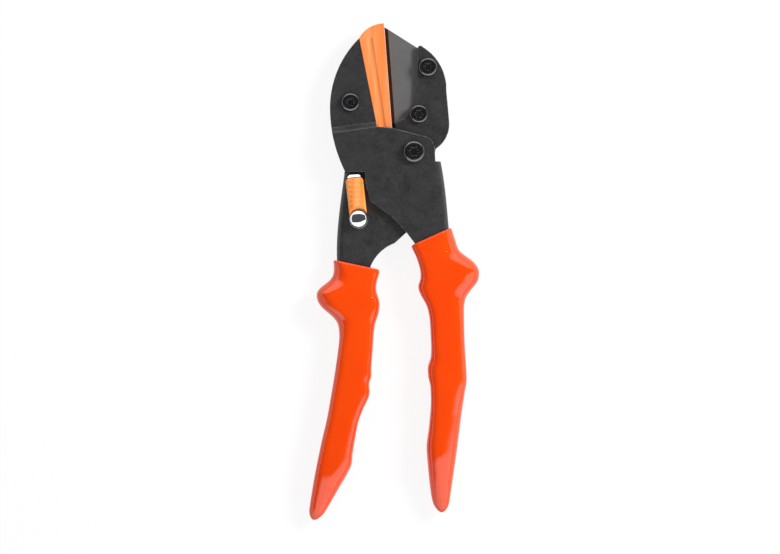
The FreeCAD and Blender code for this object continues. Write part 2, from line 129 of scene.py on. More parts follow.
def makeFineGrain():
    # speckled height, a slow cloudy shade and an uneven roughness
    group, start, end = newGroup("fineGrain", (
        ("Grain Size", "NodeSocketFloat", 0.3), ("Cloud Size", "NodeSocketFloat", 12.0),
        ("Shade Low", "NodeSocketFloat", 0.9), ("Shade High", "NodeSocketFloat", 1.1),
        ("Rough Low", "NodeSocketFloat", 0.4), ("Rough High", "NodeSocketFloat", 0.6),
    ), (("Height", "NodeSocketFloat"), ("Shade", "NodeSocketFloat"), ("Roughness", "NodeSocketFloat")))
    where = addNode(group, "ShaderNodeTexCoord", (-900, 300))
    grainScale = addNode(group, "ShaderNodeMath", (-700, 100), operation="DIVIDE")
    cloudScale = addNode(group, "ShaderNodeMath", (-700, -100), operation="DIVIDE")
    grainScale.inputs[0].default_value = 1 / mm
    cloudScale.inputs[0].default_value = 1 / mm
    link(group, start.outputs["Grain Size"], grainScale.inputs[1])
    link(group, start.outputs["Cloud Size"], cloudScale.inputs[1])
    grain = addNode(group, "ShaderNodeTexNoise", (-450, 150), Detail=2.0, Roughness=0.6)
    cloud = addNode(group, "ShaderNodeTexNoise", (-450, -150), Detail=3.0, Roughness=0.55)
    for noise, scale in ((grain, grainScale), (cloud, cloudScale)):
        link(group, where.outputs["Object"], noise.inputs["Vector"])
        link(group, scale.outputs[0], noise.inputs["Scale"])
    both = addNode(group, "ShaderNodeMix", (-200, 0), data_type="FLOAT", Factor=grainShape["grainShare"])
    link(group, grain.outputs["Fac"], both.inputs["A"])
    link(group, cloud.outputs["Fac"], both.inputs["B"])
    for name, short, place in (("Shade", "Shade", (150, 100)), ("Roughness", "Rough", (150, -150))):
        spread = remap(group, both.outputs["Result"], place, *grainShape["spread"])
        link(group, start.outputs[short + " Low"], spread.inputs["To Min"])
        link(group, start.outputs[short + " High"], spread.inputs["To Max"])
        link(group, spread.outputs["Result"], end.inputs[name])
    link(group, grain.outputs["Fac"], end.inputs["Height"])
    return group


edgeShape = {"samples": 4, "bend": (0.995, 0.85), "patches": (0.35, 0.6)}


def makeSoftEdges():
    # a normal that rounds every sharp edge, and a mask of lighter edges: worn finish and a painted edge
    # highlight
    group, start, end = newGroup("softEdges", (
        ("Radius", "NodeSocketFloat", 0.3), ("Wear Size", "NodeSocketFloat", 2.0),
        ("Wear", "NodeSocketFloat", 0.5),
    ), (("Normal", "NodeSocketVector"), ("Mask", "NodeSocketFloat")))
    metres = addNode(group, "ShaderNodeMath", (-700, 0), operation="MULTIPLY")
    metres.inputs[1].default_value = mm
    link(group, start.outputs["Radius"], metres.inputs[0])
    rounded = addNode(group, "ShaderNodeBevel", (-500, 0), samples=edgeShape["samples"])
    link(group, metres.outputs[0], rounded.inputs["Radius"])
    surface = addNode(group, "ShaderNodeNewGeometry", (-500, -200))
    same = addNode(group, "ShaderNodeVectorMath", (-300, -100), operation="DOT_PRODUCT")
    link(group, rounded.outputs["Normal"], same.inputs[0])
    link(group, surface.outputs["Normal"], same.inputs[1])
    edge = remap(group, same.outputs["Value"], (-100, -100), *edgeShape["bend"])
    where = addNode(group, "ShaderNodeTexCoord", (-700, -400))
    wearScale = addNode(group, "ShaderNodeMath", (-500, -350), operation="DIVIDE")
    wearScale.inputs[0].default_value = 1 / mm
    link(group, start.outputs["Wear Size"], wearScale.inputs[1])
    patches = addNode(group, "ShaderNodeTexNoise", (-300, -400), Detail=3.0)
    link(group, where.outputs["Object"], patches.inputs["Vector"])
    link(group, wearScale.outputs[0], patches.inputs["Scale"])
    broken = remap(group, patches.outputs["Fac"], (-100, -400), *edgeShape["patches"])
    wornAndHighlight = addNode(group, "ShaderNodeMath", (100, -200), operation="MULTIPLY")
    link(group, edge.outputs["Result"], wornAndHighlight.inputs[0])
    link(group, broken.outputs["Result"], wornAndHighlight.inputs[1])
    amount = addNode(group, "ShaderNodeMath", (300, -200), operation="MULTIPLY")
    link(group, wornAndHighlight.outputs[0], amount.inputs[0])
    link(group, start.outputs["Wear"], amount.inputs[1])
    link(group, rounded.outputs["Normal"], end.inputs["Normal"])
    link(group, amount.outputs[0], end.inputs["Mask"])
    return group


fineGrain = makeFineGrain()
softEdges = makeSoftEdges()


def tint(tree, shader, colour, shade):
    # colour times a shade value, into Base Color; the shaded colour is returned
    mixed = addNode(tree, "ShaderNodeVectorMath", (-300, 300), operation="SCALE")
    mixed.inputs[0].default_value = colour[:3]
    link(tree, shade, mixed.inputs["Scale"])
    link(tree, mixed.outputs["Vector"], shader.inputs["Base Color"])
    return mixed.outputs["Vector"]


def roughen(tree, shader, height, strength, depth, normal=None):
    # a bump over the surface, on top of another normal if one is given; depth is in mm
    bump = addNode(tree, "ShaderNodeBump", (-300, -300), Strength=strength, Distance=depth * mm)
    link(tree, height, bump.inputs["Height"])
    if normal:
        link(tree, normal, bump.inputs["Normal"])
    link(tree, bump.outputs["Normal"], shader.inputs["Normal"])


def coatedSteel(name, look):
    # dark finished steel with fine grain and lighter edges, part wear and part painted highlight
    material, tree, shader = newMaterial(name, look["colour"], look["roughness"], look.get("metallic", 0.0))
    grain = useGroup(tree, fineGrain, (-700, 100), **{
        "Grain Size": look["grain"], "Cloud Size": look["cloud"],
        "Shade Low": look["shade"][0], "Shade High": look["shade"][1],
        "Rough Low": look["roughness"] - 0.06, "Rough High": look["roughness"] + 0.08})
    edges = useGroup(tree, softEdges, (-700, -300), Radius=look["edge"], Wear=look["wearAndHighlight"])
    shaded = tint(tree, shader, look["colour"], grain.outputs["Shade"])
    # a lighter colour shows where the mask is 1: bare metal and a painted edge highlight
    base = mixColours(tree, edges.outputs["Mask"], shaded, look["wornAndHighlight"], (-100, 300))
    link(tree, base, shader.inputs["Base Color"])
    link(tree, grain.outputs["Roughness"], shader.inputs["Roughness"])
    roughen(tree, shader, grain.outputs["Height"], look["bump"], look["depth"], edges.outputs["Normal"])
    return material, tree, shader, base


# steel plates: satin black, finely grained

# the light edge colour on the plates is part wear, part painted edge highlight
plateLook = {"colour": paint(46, 46, 47), "roughness": 0.42, "grain": 0.9, "cloud": 6.0,
             "shade": (0.6, 1.4), "edge": 0.45, "wearAndHighlight": 0.9, "wornAndHighlight": paint(160, 160, 160),
             "bump": 0.4, "depth": 0.05}
blackSteel = coatedSteel("blackSteel", plateLook)[0]


# blade: grey coating, with painted shade on the ground bevel beside the anvil, a dark reflection painted
# into its colour

bladeLook = {"colour": paint(100, 100, 100), "roughness": 0.42, "grain": 0.2, "cloud": 7.0,
             "shade": (0.92, 1.07), "edge": 0.15, "wearAndHighlight": 0.2, "wornAndHighlight": paint(150, 150, 150),
             "bump": 0.2, "depth": 0.03, "bevel": paint(26, 26, 30), "bevelLean": (-0.2, -0.4)}


def makeBladeCoat():
    material, tree, shader, base = coatedSteel("coatedBlade", bladeLook)
    where = addNode(tree, "ShaderNodeTexCoord", (-700, 600))
    parts = addNode(tree, "ShaderNodeSeparateXYZ", (-500, 600))
    link(tree, where.outputs["Normal"], parts.inputs["Vector"])
    # faces turned towards -X are painted dark: painted shade for the dark reflection on the bevel
    ground = remap(tree, parts.outputs["X"], (-300, 600), *bladeLook["bevelLean"])
    bevelled = mixColours(tree, ground.outputs["Result"], base, bladeLook["bevel"], (100, 500))
    link(tree, bevelled, shader.inputs["Base Color"])
    return material


coatedBlade = makeBladeCoat()


# moulded orange plastic: the anvil and the latch sleeve

# light is the colour of the lighter streaks: part random tone, part painted sheen
anvilLook = {"colour": paint(255, 138, 62), "light": paint(255, 158, 98), "roughness": 0.34, "lean": 7.4,
             "band": 0.45}
sleeveLook = {"colour": paint(255, 136, 40), "light": paint(255, 172, 96), "roughness": 0.3, "lean": 6.3,
              "band": 0.45}


mouldShape = {"along": 0.02, "deep": 0.05, "streaksAndSheen": (0.35, 0.65), "grain": 0.25, "cloud": 4.0,
              "edge": 0.3, "bump": 0.12, "depth": 0.03}


def mouldedPlastic(name, look):
    # faint lighter lengthwise streaks, part random tone and part painted sheen, soft edges and a very fine
    # texture
    material, tree, shader = newMaterial(name, look["colour"], look["roughness"])
    where = addNode(tree, "ShaderNodeTexCoord", (-1100, 300))
    turn = addNode(tree, "ShaderNodeMapping", (-900, 300))
    turn.inputs["Rotation"].default_value = (0, 0, -math.radians(look["lean"]))
    scales = (look["band"], mouldShape["along"], mouldShape["deep"])
    turn.inputs["Scale"].default_value = [scale / mm for scale in scales]
    link(tree, where.outputs["Object"], turn.inputs["Vector"])
    streakNoise = addNode(tree, "ShaderNodeTexNoise", (-700, 400), Scale=1.0, Detail=2.0)
    link(tree, turn.outputs["Vector"], streakNoise.inputs["Vector"])
    streaksAndSheen = remap(tree, streakNoise.outputs["Fac"], (-500, 400), *mouldShape["streaksAndSheen"])
    toneAndSheen = mixColours(tree, streaksAndSheen.outputs["Result"], look["colour"], look["light"], (-250, 300))
    link(tree, toneAndSheen, shader.inputs["Base Color"])
    grain = useGroup(tree, fineGrain, (-700, 0), **{
        "Grain Size": mouldShape["grain"], "Cloud Size": mouldShape["cloud"],
        "Rough Low": look["roughness"] - 0.06, "Rough High": look["roughness"] + 0.08})
    edges = useGroup(tree, softEdges, (-700, -300), Radius=mouldShape["edge"], Wear=0.0)
    link(tree, grain.outputs["Roughness"], shader.inputs["Roughness"])
    roughen(tree, shader, grain.outputs["Height"], mouldShape["bump"], mouldShape["depth"],
            edges.outputs["Normal"])
    return material


anvilOrange = mouldedPlastic("anvilOrange", anvilLook)
sleeveOrange = mouldedPlastic("sleeveOrange", sleeveLook)


# screws, washers, bush, spring, rivet

# the light edge colour on the screws is part wear, part painted edge highlight
screwLook = {"colour": paint(92, 92, 95), "roughness": 0.24, "metallic": 1.0, "grain": 0.6, "cloud": 3.0,
             "shade": (0.8, 1.2), "edge": 0.25, "wearAndHighlight": 0.15, "wornAndHighlight": paint(150, 150, 150),
             "bump": 0.08, "depth": 0.03}
blackenedScrew = coatedSteel("blackenedScrew", screwLook)[0]

metalLooks = {
    "zincSteel": {"colour": paint(196, 198, 202), "roughness": 0.3},
    "bronze": {"colour": paint(176, 128, 70), "roughness": 0.35},
    "springSteel": {"colour": paint(140, 142, 146), "roughness": 0.28},
    "chrome": {"colour": paint(225, 226, 230), "roughness": 0.06},
}


metalSkin = {"grain": 0.4, "cloud": 2.5, "shade": (0.92, 1.05), "rough": (0.8, 1.3), "edge": 0.2,
             "bump": 0.05, "depth": 0.02}


def bareMetal(name, look):
    material, tree, shader = newMaterial(name, look["colour"], look["roughness"], 1.0)
    grain = useGroup(tree, fineGrain, (-700, 100), **{
        "Grain Size": metalSkin["grain"], "Cloud Size": metalSkin["cloud"],
        "Shade Low": metalSkin["shade"][0], "Shade High": metalSkin["shade"][1],
        "Rough Low": look["roughness"] * metalSkin["rough"][0],
        "Rough High": look["roughness"] * metalSkin["rough"][1]})
    edges = useGroup(tree, softEdges, (-700, -300), Radius=metalSkin["edge"], Wear=0.0)
    tint(tree, shader, look["colour"], grain.outputs["Shade"])
    link(tree, grain.outputs["Roughness"], shader.inputs["Roughness"])
    roughen(tree, shader, grain.outputs["Height"], metalSkin["bump"], metalSkin["depth"],
            edges.outputs["Normal"])
    return material


metals = {name: bareMetal(name, look) for name, look in metalLooks.items()}


slideLook = {"colour": paint(226, 226, 218), "roughness": 0.4, "shade": (0.95, 1.03)}


def makeSlidePlastic():
    material, tree, shader = newMaterial("slidePlastic", slideLook["colour"], slideLook["roughness"])
    grain = useGroup(tree, fineGrain, (-700, 100), **{
        "Shade Low": slideLook["shade"][0], "Shade High": slideLook["shade"][1]})
    tint(tree, shader, slideLook["colour"], grain.outputs["Shade"])
    link(tree, grain.outputs["Roughness"], shader.inputs["Roughness"])
    return material


slidePlastic = makeSlidePlastic()


# dipped grips: thick glossy plastic with a slightly wavy skin

dipLook = {"colour": paint(255, 80, 0), "deep": paint(250, 66, 0), "roughness": 0.09, "rough": (0.06, 0.13),
           "wave": 9.0, "waveDepth": 0.6, "waveShare": 0.14, "tone": 22.0, "grain": 0.8, "cloud": 15.0}


def makeDippedGrip():
    material, tree, shader = newMaterial("dippedGrip", dipLook["colour"], dipLook["roughness"])
    shader.inputs["IOR"].default_value = 1.5  # soft vinyl
    where = addNode(tree, "ShaderNodeTexCoord", (-1000, 100))
    waves = addNode(tree, "ShaderNodeTexNoise", (-750, -100), Scale=1 / (dipLook["wave"] * mm), Detail=1.0)
    tones = addNode(tree, "ShaderNodeTexNoise", (-750, 250), Scale=1 / (dipLook["tone"] * mm), Detail=2.0)
    for noise in (waves, tones):
        link(tree, where.outputs["Object"], noise.inputs["Vector"])
    toned = mixColours(tree, tones.outputs["Fac"], dipLook["colour"], dipLook["deep"], (-300, 250))
    link(tree, toned, shader.inputs["Base Color"])
    specks = useGroup(tree, fineGrain, (-750, -400), **{
        "Grain Size": dipLook["grain"], "Cloud Size": dipLook["cloud"],
        "Rough Low": dipLook["rough"][0], "Rough High": dipLook["rough"][1]})
    link(tree, specks.outputs["Roughness"], shader.inputs["Roughness"])
    roughen(tree, shader, waves.outputs["Fac"], dipLook["waveShare"], dipLook["waveDepth"])
    return material


dippedGrip = makeDippedGrip()

# the frame nodes that stay as they are get their finishes

finishes = {
    blackSteel: ("anvil_body", "blade_body"),
    coatedBlade: ("blade",),
    anvilOrange: ("anvil",),
    blackenedScrew: ("anvil_screw", "blade_screw_upper", "blade_screw_lower", "pivot_bolt",
                     "anvil_nut", "blade_nut_upper", "blade_nut_lower", "pivot_nut"),
    metals["zincSteel"]: ("pivot_washer", "latch_washer"),
    metals["bronze"]: ("pivot_bush",),
    metals["chrome"]: ("latch_arm",),
    slidePlastic: ("slide_washer",),
}
for material, names in finishes.items():
    for name in names:
        nodes[name].data.materials.clear()
        nodes[name].data.materials.append(material)
print("finishes on", sum(len(names) for names in finishes.values()), "frame nodes")


# mesh helpers

sharpAngle = 50


def meshPiece(name, points, faces, material):
    # points are in mm
    mesh = bpy.data.meshes.new(name)
    mesh.from_pydata([tuple(value * mm for value in point) for point in points], [], faces)
    mesh.validate()
    for polygon in mesh.polygons:
        polygon.use_smooth = True
    mesh.set_sharp_from_angle(angle=math.radians(sharpAngle))
    mesh.materials.append(material)
    piece = bpy.data.objects.new(name, mesh)
    bpy.context.scene.collection.objects.link(piece)
    return piece


def bridgeRings(rings):
    # skin over a row of equal closed rings, capped at both ends
    count = len(rings[0])
    points = [point for ring in rings for point in ring]
    faces = []
    for row in range(len(rings) - 1):
        for step in range(count):
            a = row * count + step
            b = row * count + (step + 1) % count
            faces.append((a, b, b + count, a + count))
    for row, order in ((0, -1), (len(rings) - 1, 1)):
        ring = rings[row]
        centre = tuple(sum(point[i] for point in ring) / count for i in range(3))
        points.append(centre)
        for step in range(count):
            edge = (row * count + step, row * count + (step + 1) % count)
            faces.append((len(points) - 1,) + edge[::order])
    return points, faces


def smoothCurve(knots):
    # a curve through (place, value) knots that never swings past them
    places = [knot[0] for knot in knots]
    values = [knot[1] for knot in knots]
    slopes = [(values[i + 1] - values[i]) / (places[i + 1] - places[i]) for i in range(len(knots) - 1)]
    tangents = [slopes[0]]
    for before, after in zip(slopes, slopes[1:]):
        if before * after <= 0:
            tangents.append(0.0)
        else:
            tangents.append(2 * before * after / (before + after))
    tangents.append(slopes[-1])

    def valueAt(place):
        if place <= places[0]:
            return values[0] + (place - places[0]) * tangents[0]
        if place >= places[-1]:
            return values[-1]
        i = max(k for k in range(len(places) - 1) if places[k] <= place)
        width = places[i + 1] - places[i]
        t = (place - places[i]) / width
        return ((2 * t ** 3 - 3 * t ** 2 + 1) * values[i] + (t ** 3 - 2 * t ** 2 + t) * width * tangents[i]
                + (3 * t ** 2 - 2 * t ** 3) * values[i + 1] + (t ** 3 - t ** 2) * width * tangents[i + 1])
    return valueAt


def evenCurve(knots):
    # the smooth curve, averaged over a short stretch so that reflections run evenly
    curve = smoothCurve(knots)
    first, last = knots[0][0], knots[-1][0]
    shares = ((-1.0, 1), (-0.5, 2), (0.0, 3), (0.5, 2), (1.0, 1))
    total = sum(weight for _, weight in shares)

    def averaged(place):
        reach = min(gripShape["evenReach"], max(0.0, place - first), max(0.0, last - place))
        return sum(weight * curve(place + share * reach) for share, weight in shares) / total

    return averaged


# grips, in mm: distances run from the middle of the collar to the tip, across is + to the right

leftGrip = {
    "piece": "left_grip_dip", "node": "left_grip", "body": "blade_side",
    "top": (-24.5, -47.4), "lean": -9.4, "length": 109.7, "mouthSlope": 0.045, "crown": 0.4,
    "left": ((-2, -9.9), (2.1, -9.2), (5.4, -8.7), (8.7, -10.0), (11.6, -12.9), (14.6, -14.5), (17.7, -13.7),
             (20.5, -11.2), (23.8, -5.6), (26.5, -3.2), (33.4, -1.7), (50, -1.3), (64, -1.4), (78, -2.2),
             (95, -2.7), (109.7, -2.6)),
    "right": ((-2, 10.0), (1.9, 10.4), (6.0, 9.9), (9.3, 10.2), (14.0, 12.5), (18.0, 12.9), (24.0, 12.1),
              (34.5, 12.9), (42.9, 13.7), (45.8, 14.3), (48.3, 13.7), (53.0, 14.7), (60.1, 12.9), (67, 11.8),
              (79, 11.7), (83.3, 12.1), (87.0, 11.2), (96.9, 7.5), (103.6, 5.0), (109.7, 2.6)),
    "front": ((-2, 11.6), (4, 12.1), (10, 13.0), (14, 13.2), (78, 13.2), (88, 12.8), (96, 11.2),
              (109.7, 7.4)),
    "back": ((-2, 0.0), (88, 0.0), (100, 1.0), (109.7, 3.0)),
    "leftRound": ((-2, 3.0), (3, 5.5), (9, 9.5), (12.5, 8.0), (15, 5.0), (18, 8.5), (22, 8.5), (28, 5.0),
                  (36, 3.6), (80, 3.6), (109.7, 3.0)),
    "rightRound": ((-2, 3.2), (8, 4.4), (20, 4.6), (36, 3.2), (46, 4.0), (60, 3.2), (80, 4.6), (94, 6.0),
                   (109.7, 4.0)),
}
rightGrip = {
    "piece": "right_grip_dip", "node": "right_grip", "body": "anvil_side",
    "top": (7.2, -35.6), "lean": 2.3, "length": 116.9, "mouthSlope": -0.4, "crown": 0.4,
    "left": ((-4, -9.0), (3.4, -8.5), (9.2, -6.3), (15.5, -5.0), (18.1, -5.2), (20.6, -6.4), (23.4, -5.8),
             (30.1, -2.7), (36, -1.9), (46, -1.8), (50.8, -2.1), (55.4, -3.7), (59.1, -3.6), (63, -2.8),
             (68, -2.8), (79, -3.9), (89.9, -5.5), (95, -5.3), (109.3, -4.3), (116.9, -2.6)),
    "right": ((-8, 8.8), (-3.5, 8.9), (1.9, 10.3), (6.0, 11.4), (8.6, 14.2), (11.6, 18.0), (15.6, 19.8),
              (19.1, 19.4), (22.9, 16.4), (26.5, 13.7), (31, 12.7), (45, 12.4), (60.6, 12.7), (66.1, 11.7),
              (75.7, 9.9), (90, 7.5), (103.8, 5.0), (116.9, 2.6)),
    "front": ((-8, 14.1), (4, 14.4), (14, 14.5), (80, 14.5), (91, 14.1), (100, 12.3), (116.9, 7.8)),
    "back": ((-8, 0.0), (94, 0.0), (106, 1.0), (116.9, 3.0)),
    "leftRound": ((-8, 2.6), (4, 3.2), (14, 3.4), (20, 4.6), (30, 3.4), (46, 3.2), (54, 4.6), (66, 3.2),
                  (90, 4.6), (116.9, 3.6)),
    "rightRound": ((-8, 4.0), (2, 6.0), (7, 10.0), (11, 9.5), (15.5, 5.0), (19, 8.5), (24, 8.5), (30, 5.0),
                   (40, 3.8), (60, 4.2), (72, 6.2), (90, 7.5), (116.9, 4.4)),
}
gripShape = {"cornerSteps": 9, "frontSteps": 10, "sideSteps": 4, "leastRound": 0.3, "mostRound": 0.98,
             "spacing": 0.8, "evenReach": 1.6, "slopeReach": 20.0, "slopePasses": 4,
             "tipRound": 4.5, "tipSteps": 9, "tipLeast": 0.02, "tipReach": 0.999,
             "wall": 1.6, "lipRadius": 0.9, "lipSteps": 4,
             # the inside of the mouth, as distances past the wall and below the rim
             "mouth": ((0.4, 2.2), (0.0, 1.32), (0.0, 0.9), (-0.15, 0.12))}


def gripSection(left, right, back, front, rounds, crown, inset=0.0):
    # one cross-section as (across, height) points, turning anticlockwise from the right side
    left, right, back, front = left + inset, right - inset, back + inset, front - inset
    middle, half = (left + right) / 2, (right - left) / 2
    most = gripShape["mostRound"]
    wide = [min(max(size - inset, gripShape["leastRound"]), half * most) for size in rounds]
    tall = [min(size, (front - back) / 2 * most) for size in wide]
    steps = gripShape["cornerSteps"]
    outline = []
    corners = ((right - wide[1], front - tall[1], wide[1], tall[1], 0),
               (left + wide[0], front - tall[0], wide[0], tall[0], 90),
               (left + wide[0], back + tall[0], wide[0], tall[0], 180),
               (right - wide[1], back + tall[1], wide[1], tall[1], 270))

    def onCorner(i, degrees):
        x, z, reach, rise, _ = corners[i % 4]
        angle = math.radians(degrees)
        return x + reach * math.cos(angle), z + rise * math.sin(angle)

    for i, corner in enumerate(corners):
        outline += [onCorner(i, corner[4] + 90 * step / steps) for step in range(steps + 1)]
        first, last = outline[-1], onCorner(i + 1, corners[(i + 1) % 4][4])
        flat = gripShape["frontSteps"] if i % 2 == 0 else gripShape["sideSteps"]
        for step in range(1, flat):
            part = step / flat
            outline.append((first[0] + (last[0] - first[0]) * part, first[1] + (last[1] - first[1]) * part))
    # the front and back are slightly crowned
    depth = (front - back) / 2
    level = (front + back) / 2
    return [(x, z - (z - level) / depth * crown * ((x - middle) / half) ** 2) for x, z in outline]


def makeGrip(look):
    names = ("left", "right", "front", "back", "leftRound", "rightRound")
    curves = {name: evenCurve(look[name]) for name in names}
    length = look["length"]
    tipStart = length - gripShape["tipRound"]
    lean = math.radians(look["lean"])

    def shift(along, across):
        fade = max(0.0, 1 - along / gripShape["slopeReach"]) if along > 0 else 1.0
        return look["mouthSlope"] * across * fade * fade

    def sideAt(name, along):
        across = curves[name](along)
        for _ in range(gripShape["slopePasses"]):
            across = curves[name](along + shift(along, across))
        return across

    def ringAt(along, inset=0.0, sink=0.0):
        left, right = sideAt("left", along), sideAt("right", along)
        front, back = curves["front"](along), curves["back"](along)
        rounds = (curves["leftRound"](along), curves["rightRound"](along))
        if along > tipStart:
            part = min(1.0, (along - tipStart) / gripShape["tipRound"])
            keep = max(gripShape["tipLeast"], math.sqrt(1 - part * part))
            middle, level = (left + right) / 2, (front + back) / 2
            left, right = middle + (left - middle) * keep, middle + (right - middle) * keep
            front, back = level + (front - level) * keep, level + (back - level) * keep
        ring = []
        for across, height in gripSection(left, right, back, front, rounds, look["crown"], inset):
            down = along + sink + shift(along, across)
            ring.append((look["top"][0] + down * math.sin(lean) + across * math.cos(lean),
                         look["top"][1] - down * math.cos(lean) + across * math.sin(lean), height))
        return ring

    lip, wall = gripShape["lipRadius"], gripShape["wall"]
    rings = [ringAt(0, wall + past, below) for past, below in gripShape["mouth"]]
    for step in range(gripShape["lipSteps"] + 1):
        angle = math.radians(90 * step / gripShape["lipSteps"])
        rings.append(ringAt(0, lip * (1 - math.sin(angle)), lip * (1 - math.cos(angle))))
    count = int((tipStart - lip) / gripShape["spacing"])
    rings += [ringAt(lip + (tipStart - lip) * (step + 1) / count) for step in range(count)]
    for step in range(gripShape["tipSteps"]):
        angle = math.radians(90 * (step + 1) / gripShape["tipSteps"])
        rings.append(ringAt(tipStart + gripShape["tipRound"] * math.sin(angle) * gripShape["tipReach"]))
    points, faces = bridgeRings(rings)
    piece = meshPiece(look["piece"], points, faces, dippedGrip)
    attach(piece, look["body"])
    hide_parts(look["node"])
    return piece


grips = [makeGrip(look) for look in (leftGrip, rightGrip)]
print("grips:", [len(grip.data.polygons) for grip in grips], "faces")


# latch: a ribbed sleeve on the strut and the domed rivet that it turns on, in mm

latchShape = {"pivot": (-23.3, -28.2), "lean": 6.3}
sleeveShape = {"half": 3.7, "reach": 17.4, "low": 9.75, "high": 13.8, "hollow": 4.05, "corner": 1.6,
               "edge": 1.0, "ribs": 6, "pitch": 2.05, "firstRib": 5.6, "ribHigh": 0.5, "ribHalf": 2.3,
               "ribFade": 0.8, "ribFullness": 0.6, "across": 28, "along": 110}
rivetShape = {"middle": 0.02, "tail": 3.3, "tailLow": 5.7, "chamfer": (0.6, 0.5), "seat": 7.0, "shank": 2.0,
              "head": 3.8, "headLow": 12.35, "headHigh": 2.6, "dome": 2.6, "domeSteps": 16, "sides": 64}


def onLatch(x, y):
    # a place on the leaning strut, in the frame's own mm
    lean = math.radians(latchShape["lean"])
    return (latchShape["pivot"][0] + x * math.cos(lean) - y * math.sin(lean),
            latchShape["pivot"][1] + x * math.sin(lean) + y * math.cos(lean))


def makeSleeve():
    shape = sleeveShape
    shoulder = shape["reach"] - shape["corner"]

    def halfAt(y):
        if y <= shoulder:
            return shape["half"]
        rise = min(y - shoulder, shape["corner"])
        return shape["half"] - shape["corner"] + math.sqrt(shape["corner"] ** 2 - rise ** 2)

    def heightAt(x, y):
        inside = min(halfAt(y) - abs(x), shape["reach"] - y, math.hypot(x, y) - shape["hollow"])
        inside = min(max(inside, 0.0), shape["edge"])
        drop = shape["edge"] - math.sqrt(shape["edge"] ** 2 - (shape["edge"] - inside) ** 2)
        middle = min(1.0, max(0.0, (shape["ribHalf"] - abs(x)) / shape["ribFade"] + 0.5))
        place = (y - shape["firstRib"]) / shape["pitch"]
        rib = 0.0
        if -0.5 <= place <= shape["ribs"] - 0.5:
            rib = (0.5 + 0.5 * math.cos(2 * math.pi * place)) ** shape["ribFullness"]
        return shape["high"] - drop + shape["ribHigh"] * rib * middle * inside / shape["edge"]

    points = []
    columns, rows = shape["across"], shape["along"]
    for row in range(rows + 1):
        for column in range(columns + 1):
            share = math.sin(math.pi / 2 * (2 * column / columns - 1))
            x = shape["half"] * share
            foot = math.sqrt(shape["hollow"] ** 2 - x * x)
            y = foot + (shape["reach"] - foot) * row / rows
            x = min(halfAt(y), abs(x)) * (1 if x > 0 else -1)
            points.append((*onLatch(x, y), heightAt(x, y)))
    wide = columns + 1
    faces = [(row * wide + i, row * wide + i + 1, (row + 1) * wide + i + 1, (row + 1) * wide + i)
             for row in range(rows) for i in range(columns)]
    rim = list(range(wide)) + [row * wide + columns for row in range(1, rows + 1)]
    rim += [rows * wide + i for i in range(columns - 1, -1, -1)]
    rim += [row * wide for row in range(rows - 1, 0, -1)]
    start = len(points)
    points += [(points[i][0], points[i][1], shape["low"]) for i in rim]
    count = len(rim)
    faces += [(rim[i], start + i, start + (i + 1) % count, rim[(i + 1) % count]) for i in range(count)]
    faces.append(tuple(range(start + count - 1, start - 1, -1)))
    piece = meshPiece("latch_sleeve_ribbed", points, faces, sleeveOrange)
    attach(piece, "latch")
    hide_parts("latch_sleeve")


def makeRivet():
    shape = rivetShape
    inward, upward = shape["chamfer"]
    profile = [(shape["middle"], shape["tailLow"]), (shape["tail"] - inward, shape["tailLow"]),
               (shape["tail"], shape["tailLow"] + upward), (shape["tail"], shape["seat"]),
               (shape["shank"], shape["seat"]), (shape["shank"], shape["headLow"])]
    for step in range(shape["domeSteps"]):
        angle = math.pi / 2 * step / shape["domeSteps"]
        profile.append((shape["head"] * math.cos(angle) ** (2 / shape["dome"]),
                        shape["headLow"] + shape["headHigh"] * math.sin(angle) ** (2 / shape["dome"])))
    turn = [2 * math.pi * step / shape["sides"] for step in range(shape["sides"])]
    rings = [[(*onLatch(reach * math.cos(angle), reach * math.sin(angle)), height) for angle in turn]
             for reach, height in profile]
    points, faces = bridgeRings(rings)
    points[-1] = (points[-1][0], points[-1][1], shape["headLow"] + shape["headHigh"])
    piece = meshPiece("latch_rivet_domed", points, faces, metals["chrome"])
    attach(piece, "blade_side")
    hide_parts("latch_rivet")


makeSleeve()
makeRivet()
print("latch sleeve and rivet done")


# return spring: a coil round the pivot nut with a leg against each handle channel

springShape = {"radius": 7.2, "wire": 1.5, "low": 2.1, "high": 5.9, "leftEnd": (-27.35, -21.0),
               "rightEnd": (10.52, -23.0), "fromAngle": -220.4, "turning": 851.5, "coilSteps": 150,
               "legSteps": 8, "sides": 14, "endSize": 0.75, "endRound": 0.25}


def wireAlong(path, radius, sides):
    # round rings along a path, turning as little as they can
    rings = []
    normal = Vector((0, 0, 1))
    for i, point in enumerate(path):
        ahead = path[min(i + 1, len(path) - 1)] - path[max(i - 1, 0)]
        ahead.normalize()
        normal = (normal - ahead * normal.dot(ahead)).normalized()
        side = ahead.cross(normal)
        rings.append([tuple(point + normal * radius * math.cos(2 * math.pi * step / sides)
                            + side * radius * math.sin(2 * math.pi * step / sides))
                      for step in range(sides)])
    return rings


